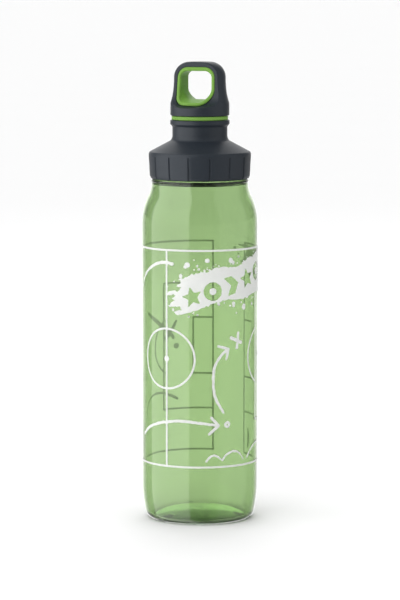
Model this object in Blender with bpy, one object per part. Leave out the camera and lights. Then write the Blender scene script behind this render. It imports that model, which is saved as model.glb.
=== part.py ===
"""A clear drinking bottle of about 0.7 litre with a dark screw lid and a looped screw stopper.

Everything is turned about the Z axis, with the origin at the centre of the foot and +Z up. The hole
of the carrying loop runs along Y. The bottle holds a wide-mouth screw lid with a soft washer. The
lid's drinking neck holds the stopper: a looped shell, a threaded plug, a green seal ring and a green
lining in the loop. Both threads are right-handed. Sizes are in metres, as MM times millimetres.
"""

import math

import bmesh
import bpy
import numpy as np
from mathutils import Matrix

MM = 0.001

# Bottle: overall sizes
BODY_RADIUS = 36.0 * MM
BODY_TOP = 185.0 * MM  # where the straight wall ends and the shoulder begins
BODY_WALL = 2.6 * MM
# Bottle: foot and base
HEEL_HEIGHT = 22.0 * MM  # the straight wall starts here
HEEL_RADIUS = 84.0 * MM  # the slow curve above the corner
CORNER_RADIUS = 5.0 * MM
FOOT_WIDTH = 2.0 * MM  # flat ring that stands on the table
PUSH_UP = 5.0 * MM  # height of the hollow under the base
PUSH_STEP = 2.2 * MM  # height of the steep step inside the foot ring
FLOOR = 3.2 * MM
INSIDE_CORNER = 7.0 * MM
INSIDE_LOW = 4.4 * MM  # height of the gutter round the floor
NOTCH_COUNT = 3
NOTCH_FIRST = 1.0  # degrees from +X
NOTCH_WIDTH = 6.0 * MM
NOTCH_HEIGHT = 1.3 * MM
# Bottle: shoulder and neck
SHOULDER_RADIUS = 38.0 * MM
NECK_CURVE_RADIUS = 17.0 * MM
NECK_RADIUS = 30.0 * MM
BEAD_HEIGHT = 1.9 * MM
BEAD_DEPTH = 0.35 * MM
THROAT_HEIGHT = 3.4 * MM  # the inside narrows to the mouth over this height
FINISH_RADIUS = 28.0 * MM  # root of the thread on the mouth
FINISH_HEIGHT = 12.7 * MM
FINISH_WALL = 2.2 * MM

# Lid
LID_GAP = 0.5 * MM  # between the bottle's bead and the skirt
SKIRT_WALL = 1.45 * MM
SKIRT_FLARE = 0.5 * MM  # the skirt is wider at its top
SKIRT_EDGE = 1.1 * MM  # bevel of the lower edge
LID_CORNER = 1.4 * MM  # round between skirt and cone
LID_ROOF = 2.0 * MM
CONE_SLOPE = 29.0  # degrees above the horizontal
CONE_WALL = 2.2 * MM
LIP_GAP = 0.5 * MM  # between the lip inside the lid and the bottle's mouth
LIP_WALL = 1.1 * MM
LIP_DEPTH = 3.7 * MM
GROOVE_COUNT = 15
GROOVE_FIRST = -82.6  # degrees from +X
GROOVE_WIDTH = 0.9 * MM
GROOVE_DEPTH = 0.5 * MM
GROOVE_TOP = 2.0 * MM  # left plain above the grooves
SPOUT_RADIUS = 17.05 * MM
SPOUT_HEIGHT = 12.0 * MM
SPOUT_WALL = 2.35 * MM
SPOUT_FILLET = 2.0 * MM
RIM_BEAD = 0.9 * MM
RIM_BEAD_HEIGHT = 3.9 * MM

# Stopper
RING_HEIGHT = 2.0 * MM
RING_RECESS = 0.5 * MM  # the green ring stands back from the shell
PLUG_LENGTH = 10.4 * MM
PLUG_WALL = 1.9 * MM
PLUG_FLOOR = 1.8 * MM
CAP_SKIRT_WALL = 1.7 * MM
CAP_CAVITY = 4.1 * MM
CAP_HEIGHT = 33.2 * MM
CAP_EDGE = 0.5 * MM
FLARE_START = 7.9 * MM  # above the shell's lower edge
LOOP_WAIST = 16.0 * MM  # radius of the loop where it is narrowest
LOOP_FLARE_RADIUS = 69.0 * MM
LOOP_CORNER = 9.5 * MM
LOOP_HALF_DEPTH = 6.8 * MM
LOOP_BAR = 3.1 * MM  # above the lining
LOOP_SIDE = 4.0 * MM  # beside the lining
SCOOP_RADIUS = 9.0 * MM
SCOOP_SHELF = 5.9 * MM  # above the shell's lower edge
HOLE_FLOOR = 8.0 * MM  # above the shell's lower edge
HOLE_TOP_ROUND = 6.5 * MM
HOLE_LOW_ROUND = 9.5 * MM
HOLE_DROP = 0.2  # how fast the hole's floor falls towards each face
LINING_WALL = 1.7 * MM
LINING_PROUD = 0.5 * MM

# Washers, threads and clearances
WASHER_HEIGHT = 1.7 * MM
WASHER_INSET = 0.3 * MM
LID_LEAD = 4.5 * MM
LID_TURNS = 1.75
LID_THREAD = 1.1 * MM
PLUG_LEAD = 4.0 * MM
PLUG_TURNS = 1.5
PLUG_THREAD = 0.9 * MM
CREST_GAP = 0.35 * MM  # from a thread's crest to the wall that it turns in
THREAD_GAP = 0.25 * MM  # between bearing flanks
SEAT_GAP = 0.2 * MM
FIT_GAP = 0.3 * MM

# Fineness of the faceted solids
SEGMENTS = 64
THREAD_STEPS = 40  # per turn
OUTLINE_STEPS = 6  # per rounded corner of the loop's hole

# Levels and radii that follow from the sizes above
LID_CREST_WALL = FINISH_RADIUS + LID_THREAD + CREST_GAP  # inside of the skirt
BORE = FINISH_RADIUS - FINISH_WALL
SPOUT_BORE = SPOUT_RADIUS - SPOUT_WALL
CAP_RADIUS = SPOUT_RADIUS + RIM_BEAD
SLOPE = math.tan(math.radians(CONE_SLOPE))


def s_angle(drop):
    """Angle of each of the two arcs that together step inwards by drop."""
    both = SHOULDER_RADIUS + NECK_CURVE_RADIUS
    return math.copysign(math.acos(1 - abs(drop) / both), drop)


SHOULDER_ANGLE = s_angle(BODY_RADIUS - NECK_RADIUS)
NECK_Z = BODY_TOP + (SHOULDER_RADIUS + NECK_CURVE_RADIUS) * math.sin(abs(SHOULDER_ANGLE))
LEDGE_Z = NECK_Z + FIT_GAP + BEAD_HEIGHT
RIM_Z = LEDGE_Z + FINISH_HEIGHT
SKIRT_Z = LEDGE_Z + LID_GAP
SEAT_Z = RIM_Z + 2 * SEAT_GAP + WASHER_HEIGHT
SKIRT_LOW_R = LID_CREST_WALL + SKIRT_WALL
SKIRT_TOP_R = SKIRT_LOW_R + SKIRT_FLARE
CORNER_Z = SEAT_Z + LID_ROOF
SPOUT_Z = CORNER_Z + (SKIRT_TOP_R - SPOUT_RADIUS) * SLOPE
SPOUT_TOP = SPOUT_Z + SPOUT_HEIGHT
RING_Z = SPOUT_TOP + FIT_GAP
CAP_Z = RING_Z + RING_HEIGHT + FIT_GAP
PLUG_CREST = SPOUT_BORE - CREST_GAP
PLUG_ROOT = PLUG_CREST - PLUG_THREAD
LOOP_WAIST_Z = CAP_Z + CAP_HEIGHT - LOOP_CORNER


def clear_scene():
    for obj in list(bpy.data.objects):
        bpy.data.objects.remove(obj)


def material(name, colour, roughness, alpha=1.0, transmission=0.0):
    """A Principled material; the clear plastic also lets light through."""
    made = bpy.data.materials.new(name)
    made.use_nodes = True
    shader = made.node_tree.nodes["Principled BSDF"]
    shader.inputs["Base Color"].default_value = (*colour, 1.0)
    shader.inputs["Roughness"].default_value = roughness
    shader.inputs["Metallic"].default_value = 0.0
    shader.inputs["Alpha"].default_value = alpha
    shader.inputs["Transmission Weight"].default_value = transmission
    return made


def add_object(name, bm, finish):
    """Turns a bmesh into a named object with smooth round faces."""
    mesh = bpy.data.meshes.new(name)
    bm.normal_update()
    bm.to_mesh(mesh)
    bm.free()
    mesh.shade_smooth()
    mesh.set_sharp_from_angle(angle=math.radians(35))
    obj = bpy.data.objects.new(name, mesh)
    if finish:
        mesh.materials.append(finish)
    bpy.context.scene.collection.objects.link(obj)
    return obj


def helper(name, bm):
    """A cutter or an addition for a Boolean: it isn't a piece of the bottle."""
    obj = add_object(name, bm, None)
    obj.hide_render = True
    obj.display_type = "WIRE"
    return obj


def boolean(obj, other, operation):
    """Joins other to obj, or cuts it away."""
    modifier = obj.modifiers.new(other.name, "BOOLEAN")
    modifier.operation = operation
    modifier.object = other
    modifier.solver = "EXACT"


def arc(centre_r, centre_z, radius, start, end, steps):
    """Points on an arc in the profile's plane, from angle start to end in degrees, 0 pointing outwards."""
    angles = np.radians(np.linspace(start, end, steps + 1))
    return [(centre_r + radius * math.cos(a), centre_z + radius * math.sin(a)) for a in angles]


def turned(profile):
    """Spins a closed profile of (radius, height) points about Z into a closed solid."""
    bm = bmesh.new()
    ring = [bm.verts.new((r, 0.0, z)) for r, z in profile]
    edges = []
    for a, b in zip(ring, ring[1:] + ring[:1]):
        if a.co.x > 0 or b.co.x > 0:
            edges.append(bm.edges.new((a, b)))
    bmesh.ops.spin(
        bm,
        geom=ring + edges,
        axis=(0, 0, 1),
        cent=(0, 0, 0),
        angle=2 * math.pi,
        steps=SEGMENTS,
        use_merge=True,
    )
    bmesh.ops.remove_doubles(bm, verts=bm.verts, dist=1e-6)
    bmesh.ops.recalc_face_normals(bm, faces=bm.faces)
    return bm


def helix_ridge(root, crest, low_z, turns, lead, start_angle=0.0):
    """A right-handed thread ridge. root lies just inside the wall that carries it, and the crest fades
    into that wall at both ends. Its section is a trapezoid, wide at the root."""
    bm = bmesh.new()
    depth = abs(crest - root)
    half_root, half_crest = 0.85 * depth, 0.36 * depth
    steps = round(turns * THREAD_STEPS)
    fade = THREAD_STEPS // 8
    rings = []
    for i in range(steps + 1):
        turn = i / THREAD_STEPS
        angle = 2 * math.pi * turn + math.radians(start_angle)
        share = min(1.0, i / fade, (steps - i) / fade)
        top = root + (crest - root) * (0.15 + 0.85 * share)
        centre = low_z + lead * turn
        section = (
            (root, centre - half_root),
            (top, centre - half_crest),
            (top, centre + half_crest),
            (root, centre + half_root),
        )
        rings.append(
            [bm.verts.new((r * math.cos(angle), r * math.sin(angle), z)) for r, z in section]
        )
    for a, b in zip(rings, rings[1:]):
        for k in range(4):
            bm.faces.new((a[k], b[k], b[(k + 1) % 4], a[(k + 1) % 4]))
    bm.faces.new(rings[0])
    bm.faces.new(reversed(rings[-1]))
    bmesh.ops.recalc_face_normals(bm, faces=bm.faces)
    return bm


def ridge_widths(depth):
    """Half the ridge's axial width halfway down its depth: where two meshing ridges meet."""
    return (0.85 + 0.36) / 2 * depth


def loft(sections):
    """A closed solid through rings of points; the first and last rings are capped."""
    bm = bmesh.new()
    rings = [[bm.verts.new(p) for p in section] for section in sections]
    for a, b in zip(rings, rings[1:]):
        count = len(a)
        for k in range(count):
            bm.faces.new((a[k], a[(k + 1) % count], b[(k + 1) % count], b[k]))
    bm.faces.new(rings[0])
    bm.faces.new(reversed(rings[-1]))
    bmesh.ops.recalc_face_normals(bm, faces=bm.faces)
    return bm


# ---------------------------------------------------------------- bottle


def heel_corner(radius, heel_radius, corner, lowest):
    """Where the slow heel curve meets the corner round: (angle in degrees, corner centre r, centre z)."""
    reach = heel_radius - corner
    angle = math.asin((HEEL_HEIGHT - lowest - corner) / reach)
    return math.degrees(angle), radius - heel_radius + reach * math.cos(angle), lowest + corner


def outside_of_bottle():
    """Outer profile, from the middle of the underside out and up to the mouth's rim."""
    angle, corner_r, corner_z = heel_corner(BODY_RADIUS, HEEL_RADIUS, CORNER_RADIUS, 0.0)
    foot_inside = corner_r - FOOT_WIDTH
    dome_edge = foot_inside - PUSH_STEP
    points = dome(dome_edge, PUSH_STEP, PUSH_UP)
    points.append((foot_inside, 0.0))
    points += arc(corner_r, corner_z, CORNER_RADIUS, -90, -angle, 5)
    points += arc(BODY_RADIUS - HEEL_RADIUS, HEEL_HEIGHT, HEEL_RADIUS, -angle, 0, 4)[1:]
    points += shoulder(0.0)
    bead = NECK_RADIUS + BEAD_DEPTH
    points += [(bead, NECK_Z + FIT_GAP), (bead, LEDGE_Z), (FINISH_RADIUS, LEDGE_Z)]
    points += [(FINISH_RADIUS, RIM_Z - FIT_GAP), (FINISH_RADIUS - FIT_GAP, RIM_Z)]
    return points


def inside_of_bottle():
    """Inner profile, from the mouth's rim down to the middle of the floor."""
    heel_radius = HEEL_RADIUS - BODY_WALL
    wall = BODY_RADIUS - BODY_WALL
    angle, corner_r, corner_z = heel_corner(wall, heel_radius, INSIDE_CORNER, INSIDE_LOW)
    points = [(BORE + FIT_GAP, RIM_Z), (BORE, RIM_Z - FIT_GAP)]
    points.append((BORE, NECK_Z + THROAT_HEIGHT))
    points += list(reversed(shoulder(BODY_WALL)))
    points += arc(wall - heel_radius, HEEL_HEIGHT, heel_radius, 0, -angle, 4)
    points += arc(corner_r, corner_z, INSIDE_CORNER, -angle, -90, 5)[1:]
    points += list(reversed(dome(corner_r, INSIDE_LOW, PUSH_UP + FLOOR)))[1:]
    return points


def dome(edge_r, edge_z, top_z):
    """A shallow dome from the axis out to its edge, level at the axis."""
    rise = top_z - edge_z
    radius = (edge_r**2 + rise**2) / (2 * rise)
    spread = math.degrees(math.asin(edge_r / radius))
    points = arc(0.0, top_z - radius, radius, 90, 90 - spread, 4)
    points[0] = (0.0, top_z)
    return points


def shoulder(inset):
    """Two arcs that bend the wall in to the neck; inset is 0 outside and the wall's thickness inside."""
    side = math.copysign(1, SHOULDER_ANGLE)
    angle = math.degrees(SHOULDER_ANGLE)
    convex, concave = SHOULDER_RADIUS - side * inset, NECK_CURVE_RADIUS + side * inset
    wall, neck = BODY_RADIUS - inset, NECK_RADIUS - inset
    low = arc(wall - side * convex, BODY_TOP, side * convex, 0, angle, 5)
    high = arc(neck + side * concave, NECK_Z, -side * concave, angle, 0, 4)
    return low + high[1:]


def notch(angle):
    """A round-topped bar that cuts a drain notch through the foot ring."""
    bm = bmesh.new()
    _, corner_r, _ = heel_corner(BODY_RADIUS, HEEL_RADIUS, CORNER_RADIUS, 0.0)
    half = NOTCH_WIDTH / 2
    corner = min(NOTCH_HEIGHT, half) * 0.8
    outline = [(-half, -FLOOR), (half, -FLOOR)]
    outline += arc(half - corner, NOTCH_HEIGHT - corner, corner, 0, 90, 3)
    outline += arc(corner - half, NOTCH_HEIGHT - corner, corner, 90, 180, 3)
    reach = (corner_r - FOOT_WIDTH - PUSH_STEP, BODY_RADIUS + FLOOR)
    face = bm.faces.new([bm.verts.new((reach[0], y, z)) for y, z in outline])
    pulled = bmesh.ops.extrude_face_region(bm, geom=[face])
    moved = [v for v in pulled["geom"] if isinstance(v, bmesh.types.BMVert)]
    bmesh.ops.translate(bm, verts=moved, vec=(reach[1] - reach[0], 0, 0))
    bmesh.ops.recalc_face_normals(bm, faces=bm.faces)
    rotate_about_z(bm, angle)
    return bm


def rotate_about_z(bm, degrees):
    matrix = Matrix.Rotation(math.radians(degrees), 3, "Z")
    bmesh.ops.rotate(bm, verts=bm.verts, cent=(0, 0, 0), matrix=matrix)


def lid_thread_low():
    """Height of the lowest turn of the thread on the bottle's mouth, at its middle."""
    return (LEDGE_Z + RIM_Z - LID_TURNS * LID_LEAD) / 2


def make_bottle(finish):
    bottle = add_object("bottle_body", turned(outside_of_bottle() + inside_of_bottle()), finish)
    sunk = FINISH_RADIUS - FIT_GAP
    crest = FINISH_RADIUS + LID_THREAD
    ridge = helix_ridge(sunk, crest, lid_thread_low(), LID_TURNS, LID_LEAD)
    boolean(bottle, helper("cut_bottle_thread", ridge), "UNION")
    for i in range(NOTCH_COUNT):
        cutter = notch(NOTCH_FIRST + i * 360 / NOTCH_COUNT)
        boolean(bottle, helper(f"cut_notch_{i + 1}", cutter), "DIFFERENCE")
    return bottle


# ---------------------------------------------------------------- lid


def lid_profile():
    """The lid's section: up the outside of skirt, cone and neck, then down the inside."""
    skirt_top = CORNER_Z - LID_CORNER
    points = [(LID_CREST_WALL, SKIRT_Z), (SKIRT_LOW_R - SKIRT_EDGE / 2, SKIRT_Z)]
    points.append((SKIRT_LOW_R, SKIRT_Z + SKIRT_EDGE))
    points.append((SKIRT_TOP_R, skirt_top))
    points.append((SKIRT_TOP_R - LID_CORNER / 3, CORNER_Z))
    points += [
        (SPOUT_RADIUS + SPOUT_FILLET, SPOUT_Z - SPOUT_FILLET * SLOPE),
        (SPOUT_RADIUS + SPOUT_FILLET / 4, SPOUT_Z + SPOUT_FILLET / 4),
        (SPOUT_RADIUS, SPOUT_Z + SPOUT_FILLET),
    ]
    bead_z = SPOUT_TOP - RIM_BEAD_HEIGHT
    bead_r = SPOUT_RADIUS + RIM_BEAD
    points.append((SPOUT_RADIUS, bead_z))
    points += arc(SPOUT_RADIUS, bead_z + 2 * RIM_BEAD, RIM_BEAD, -45, 0, 2)
    points += arc(bead_r - RIM_BEAD / 2, SPOUT_TOP - RIM_BEAD / 2, RIM_BEAD / 2, 0, 90, 2)
    points.append((SPOUT_BORE + FIT_GAP, SPOUT_TOP))
    points.append((SPOUT_BORE, SPOUT_TOP - FIT_GAP))
    drop = CONE_WALL / math.cos(math.radians(CONE_SLOPE))
    lip_out = BORE - LIP_GAP
    lip_in = lip_out - LIP_WALL
    for r in (SPOUT_BORE, lip_in):
        points.append((r, CORNER_Z + (SKIRT_TOP_R - r) * SLOPE - drop))
    points += [(lip_in, SEAT_Z - LIP_DEPTH), (lip_out, SEAT_Z - LIP_DEPTH)]
    points += [(lip_out, SEAT_Z), (LID_CREST_WALL, SEAT_Z)]
    return points


def groove(angle):
    """A tall three-sided bar for one grip groove, deeper towards the skirt's lower edge."""
    low, high = SKIRT_Z - SKIRT_EDGE, CORNER_Z - LID_CORNER - GROOVE_TOP
    sections = []
    for z, depth in ((low, GROOVE_DEPTH), (high, GROOVE_DEPTH / 2)):
        wall = SKIRT_LOW_R + SKIRT_FLARE * (z - SKIRT_Z) / (CORNER_Z - LID_CORNER - SKIRT_Z)
        outside = wall + GROOVE_DEPTH
        sections.append(
            [(wall - depth, 0, z), (outside, GROOVE_WIDTH, z), (outside, -GROOVE_WIDTH, z)]
        )
    bm = loft(sections)
    rotate_about_z(bm, angle)
    return bm


def make_lid(finish):
    lid = add_object("lid_collar", turned(lid_profile()), finish)
    below = ridge_widths(LID_THREAD) * 2 + THREAD_GAP
    crest = FINISH_RADIUS + CREST_GAP
    ridge = helix_ridge(
        LID_CREST_WALL + FIT_GAP, crest, lid_thread_low() - below, LID_TURNS, LID_LEAD
    )
    trim_ridge(ridge, SKIRT_Z + FIT_GAP)
    boolean(lid, helper("cut_lid_thread", ridge), "UNION")
    bore_thread = helix_ridge(
        SPOUT_BORE + FIT_GAP,
        PLUG_ROOT + CREST_GAP,
        spout_thread_low(),
        PLUG_TURNS,
        PLUG_LEAD,
    )
    boolean(lid, helper("cut_spout_thread", bore_thread), "UNION")
    for i in range(GROOVE_COUNT):
        cutter = groove(GROOVE_FIRST + i * 360 / GROOVE_COUNT)
        boolean(lid, helper(f"cut_groove_{i + 1:02d}", cutter), "DIFFERENCE")
    return lid


def trim_ridge(bm, lowest):
    """Cuts off what a ridge would reach below a skirt, and closes the cut."""
    cut = bmesh.ops.bisect_plane(
        bm,
        geom=bm.verts[:] + bm.edges[:] + bm.faces[:],
        plane_co=(0, 0, lowest),
        plane_no=(0, 0, 1),
        clear_inner=True,
    )
    edges = [e for e in cut["geom_cut"] if isinstance(e, bmesh.types.BMEdge)]
    if edges:
        bmesh.ops.holes_fill(bm, edges=edges)
    bmesh.ops.recalc_face_normals(bm, faces=bm.faces)


def spout_thread_low():
    """Height of the lowest turn inside the drinking neck, so that the plug's own turn, which runs a
    ridge's width below it, starts just above the plug's lower end."""
    widths = 2 * ridge_widths(PLUG_THREAD) + THREAD_GAP + 0.85 * PLUG_THREAD
    return RING_Z - PLUG_LENGTH + widths + FIT_GAP


def make_washer(finish):
    """The soft washer between the bottle's rim and the lid's seat."""
    inner, outer = BORE + WASHER_INSET, LID_CREST_WALL - WASHER_INSET
    low, high = RIM_Z + SEAT_GAP, SEAT_Z - SEAT_GAP
    profile = [(inner, low), (outer, low), (outer, high), (inner, high)]
    return add_object("lid_washer", turned(profile), finish)


# ---------------------------------------------------------------- stopper


def make_ring(finish):
    """The green seal ring, squeezed between the neck's rim and the stopper's shell."""
    inner, outer = PLUG_CREST + FIT_GAP, CAP_RADIUS - RING_RECESS
    edge = RING_HEIGHT / 8
    profile = [(inner, RING_Z), (outer - edge, RING_Z), (outer, RING_Z + edge)]
    profile += [(outer, RING_Z + RING_HEIGHT - edge), (outer - edge, RING_Z + RING_HEIGHT)]
    profile.append((inner, RING_Z + RING_HEIGHT))
    return add_object("stopper_seal_ring", turned(profile), finish)


def make_plug(finish):
    """The threaded plug: a hollow screw, a collar through the ring and a flange in the shell."""
    low = RING_Z - PLUG_LENGTH
    flange_r = CAP_RADIUS - CAP_SKIRT_WALL - FIT_GAP
    flange_low, flange_top = CAP_Z + FIT_GAP, CAP_Z + CAP_CAVITY - FIT_GAP
    inside = PLUG_ROOT - PLUG_WALL
    roof = flange_top - PLUG_FLOOR
    bevel = PLUG_THREAD / 2
    profile = [(0.0, flange_top), (0.0, roof), (inside, roof), (inside, low)]
    profile += [(PLUG_ROOT - bevel, low), (PLUG_ROOT, low + bevel)]
    profile += [(PLUG_ROOT, RING_Z - PLUG_THREAD), (PLUG_CREST, RING_Z)]
    profile += [(PLUG_CREST, flange_low), (flange_r, flange_low), (flange_r, flange_top)]
    plug = add_object("stopper_plug", turned(list(reversed(profile))), finish)
    below = ridge_widths(PLUG_THREAD) * 2 + THREAD_GAP
    ridge = helix_ridge(
        PLUG_ROOT - FIT_GAP, PLUG_CREST, spout_thread_low() - below, PLUG_TURNS, PLUG_LEAD
    )
    boolean(plug, helper("cut_plug_thread", ridge), "UNION")
    return plug


def shell_profile():
    """The stopper's shell before the loop is cut: a hollow skirt, a slow flare and a round top."""
    top = CAP_Z + CAP_HEIGHT
    flare_low = CAP_Z + FLARE_START
    rise = math.degrees(math.asin((LOOP_WAIST_Z - flare_low) / LOOP_FLARE_RADIUS))
    inside = CAP_RADIUS - CAP_SKIRT_WALL
    points = [(0.0, CAP_Z + CAP_CAVITY), (inside, CAP_Z + CAP_CAVITY), (inside, CAP_Z)]
    points += [(CAP_RADIUS - CAP_EDGE, CAP_Z), (CAP_RADIUS, CAP_Z + CAP_EDGE)]
    centre = LOOP_WAIST + LOOP_FLARE_RADIUS
    points += arc(centre, LOOP_WAIST_Z, -LOOP_FLARE_RADIUS, rise, 0, 5)
    points += arc(LOOP_WAIST - LOOP_CORNER, top - LOOP_CORNER, LOOP_CORNER, 0, 90, 6)[1:]
    points.append((0.0, top))
    return points


def scoop(side):
    """Cuts one face of the loop: flat at the top, swept out to a shelf below. side is 1 or -1."""
    bm = bmesh.new()
    reach, top = CAP_RADIUS + SCOOP_RADIUS, CAP_Z + CAP_HEIGHT + SCOOP_RADIUS
    shelf = CAP_Z + SCOOP_SHELF
    outline = [(reach, top), (LOOP_HALF_DEPTH, top)]
    outline += arc(LOOP_HALF_DEPTH + SCOOP_RADIUS, shelf + SCOOP_RADIUS, SCOOP_RADIUS, 180, 270, 7)
    outline.append((reach, shelf))
    face = bm.faces.new([bm.verts.new((-reach, side * y, z)) for y, z in outline])
    pulled = bmesh.ops.extrude_face_region(bm, geom=[face])
    moved = [v for v in pulled["geom"] if isinstance(v, bmesh.types.BMVert)]
    bmesh.ops.translate(bm, verts=moved, vec=(2 * reach, 0, 0))
    bmesh.ops.recalc_face_normals(bm, faces=bm.faces)
    return bm


def hole_outline(depth, inset):
    """The loop hole's outline at a depth from the middle: wide rounds below, small rounds above. Its
    floor falls towards each face. inset moves the outline inwards."""
    half = LOOP_WAIST - LOOP_SIDE - inset
    fall = HOLE_DROP * max(0.0, abs(depth) - LOOP_HALF_DEPTH / 2)
    low = CAP_Z + HOLE_FLOOR - fall + inset
    high = CAP_Z + CAP_HEIGHT - LOOP_BAR - inset
    top_round, low_round = HOLE_TOP_ROUND - inset, HOLE_LOW_ROUND - inset
    points = arc(half - low_round, low + low_round, low_round, -90, 0, OUTLINE_STEPS)
    points += arc(half - top_round, high - top_round, top_round, 0, 90, OUTLINE_STEPS)
    points += arc(top_round - half, high - top_round, top_round, 90, 180, OUTLINE_STEPS)
    points += arc(low_round - half, low + low_round, low_round, 180, 270, OUTLINE_STEPS)
    return points


def hole_section(depth, inset):
    return [(x, depth, z) for x, z in hole_outline(depth, inset)]


def flare_radius(z):
    """Radius of the shell's outside at a height on its skirt or flare."""
    above = min(LOOP_WAIST_Z - z, LOOP_WAIST_Z - CAP_Z - FLARE_START)
    if above <= 0:
        return LOOP_WAIST
    return LOOP_WAIST + LOOP_FLARE_RADIUS - math.sqrt(LOOP_FLARE_RADIUS**2 - above**2)


def face_depth(x, z):
    """How far the loop's front face is from the middle at (x, z)."""
    shelf = CAP_Z + SCOOP_SHELF
    below = shelf + SCOOP_RADIUS - z
    scooped = LOOP_HALF_DEPTH
    if below > 0:
        below = min(below, SCOOP_RADIUS)
        scooped += SCOOP_RADIUS - math.sqrt(SCOOP_RADIUS**2 - below**2)
    outside = math.sqrt(max(flare_radius(z) ** 2 - x**2, LOOP_HALF_DEPTH**2))
    return min(scooped, outside)


def make_shell(finish):
    shell = add_object("stopper_shell", turned(list(reversed(shell_profile()))), finish)
    boolean(shell, helper("cut_scoop_front", scoop(-1)), "DIFFERENCE")
    boolean(shell, helper("cut_scoop_back", scoop(1)), "DIFFERENCE")
    reach = CAP_RADIUS + SCOOP_RADIUS
    depths = (-reach, -LOOP_HALF_DEPTH / 2, LOOP_HALF_DEPTH / 2, reach)
    hole = loft([hole_section(d, 0.0) for d in depths])
    boolean(shell, helper("cut_loop_hole", hole), "DIFFERENCE")
    return shell


def make_lining(finish):
    """The green lining: a tube through the loop whose ends follow the loop's faces."""
    bm = bmesh.new()
    middle = LOOP_HALF_DEPTH / 2
    outer_at, inner_at = FIT_GAP, FIT_GAP + LINING_WALL
    around = len(hole_outline(0.0, outer_at))
    rings = []
    for k in range(around):
        x, z = hole_outline(0.0, outer_at)[k]
        end = face_depth(x, z) + LINING_PROUD
        ring = []
        for depth, inset in (
            (end, outer_at),
            (middle, outer_at),
            (-middle, outer_at),
            (-end, outer_at),
            (-end, inner_at),
            (-middle, inner_at),
            (middle, inner_at),
            (end, inner_at),
        ):
            px, pz = hole_outline(depth, inset)[k]
            ring.append(bm.verts.new((px, depth, pz)))
        rings.append(ring)
    for a, b in zip(rings, rings[1:] + rings[:1]):
        for k in range(8):
            bm.faces.new((a[k], b[k], b[(k + 1) % 8], a[(k + 1) % 8]))
    bmesh.ops.recalc_face_normals(bm, faces=bm.faces)
    return add_object("loop_lining", bm, finish)


def main():
    clear_scene()
    clear_green = material("clear green plastic", (0.36, 0.58, 0.22), 0.05, 0.45, 1.0)
    dark = material("dark lid plastic", (0.035, 0.040, 0.048), 0.45)
    green = material("green soft plastic", (0.15, 0.38, 0.06), 0.5)
    pale = material("pale silicone", (0.72, 0.75, 0.74), 0.6)
    make_bottle(clear_green)
    make_washer(pale)
    make_lid(dark)
    make_ring(green)
    make_plug(dark)
    make_shell(dark)
    make_lining(green)


main()
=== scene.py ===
"""The finished look of a clear green drinking bottle with a dark screw lid and a looped screw stopper.

Lengths in the shape functions are in millimetres and are turned to metres as a mesh is made. The
bottle stands on the floor at the origin, +Z up, and the hole of its carrying loop runs along Y.
"""

import math

import bpy
import numpy as np
from mathutils import Matrix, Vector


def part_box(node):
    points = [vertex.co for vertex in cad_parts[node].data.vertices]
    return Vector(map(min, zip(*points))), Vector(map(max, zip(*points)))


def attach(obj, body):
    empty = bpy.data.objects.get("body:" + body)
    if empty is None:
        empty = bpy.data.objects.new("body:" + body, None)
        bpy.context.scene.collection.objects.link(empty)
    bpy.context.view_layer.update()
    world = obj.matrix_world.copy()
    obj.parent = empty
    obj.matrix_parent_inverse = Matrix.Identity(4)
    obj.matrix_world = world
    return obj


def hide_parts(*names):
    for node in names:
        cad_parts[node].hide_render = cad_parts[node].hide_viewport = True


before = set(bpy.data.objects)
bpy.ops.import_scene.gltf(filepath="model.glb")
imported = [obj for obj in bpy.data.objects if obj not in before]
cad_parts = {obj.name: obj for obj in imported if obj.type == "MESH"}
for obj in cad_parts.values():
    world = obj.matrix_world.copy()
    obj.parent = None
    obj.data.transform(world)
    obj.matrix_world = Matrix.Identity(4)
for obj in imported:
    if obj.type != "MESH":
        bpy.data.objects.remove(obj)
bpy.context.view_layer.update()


def cad(node):
    """Lowest and highest corner of a CAD node in millimetres."""
    low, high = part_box(node)
    return np.array(low) * 1000.0, np.array(high) * 1000.0


BOTTLE_HIGH = cad("bottle_body")[1]
LID_LOW, LID_HIGH = cad("lid_collar")
WASHER_LOW, WASHER_HIGH = cad("lid_washer")
RING_LOW, RING_HIGH = cad("stopper_seal_ring")
PLUG_LOW = cad("stopper_plug")[0]
CAP_LOW, CAP_HIGH = cad("stopper_shell")

# Levels and radii that the pieces share
BODY_R = BOTTLE_HIGH[0]
GIRTH = 2 * math.pi * BODY_R
RIM_Z = BOTTLE_HIGH[2]
LEDGE_Z = RIM_Z - 12.7
NECK_Z = LEDGE_Z - 2.2
SKIRT_Z = LID_LOW[2]
LIP_Z = LID_HIGH[2]
SKIRT_R = LID_HIGH[0]
CAP_Z = CAP_LOW[2]
CAP_TOP = CAP_HIGH[2]
CAP_R = CAP_HIGH[0]
RING_Z = RING_LOW[2]
FINISH_R = 28.0
BORE_R = 25.8
NECK_R = 30.0
SKIRT_BORE = 29.45
SPOUT_R = 17.05
SPOUT_BORE = 14.7
PLUG_R = 13.45
ON_WALL = 0.02  # a point this near a wall's radius lies on that wall
LID_LEAD, LID_TURNS, LID_RIDGE = 4.5, 1.75, 1.1
PLUG_LEAD, PLUG_TURNS, PLUG_RIDGE = 4.0, 1.5, 0.9
MOUTH_THREAD_Z = (LEDGE_Z + RIM_Z - LID_TURNS * LID_LEAD) / 2
SKIRT_THREAD_Z = MOUTH_THREAD_Z - 1.58
PLUG_THREAD_Z = PLUG_LOW[2] + 1.065
NECK_THREAD_Z = PLUG_THREAD_Z + 1.34

# How far the finished lid skirt, and the lip and the stopper's foot, stand out past the CAD's
SKIRT_PROUD = 0.4
CAP_PROUD = 0.45

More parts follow.
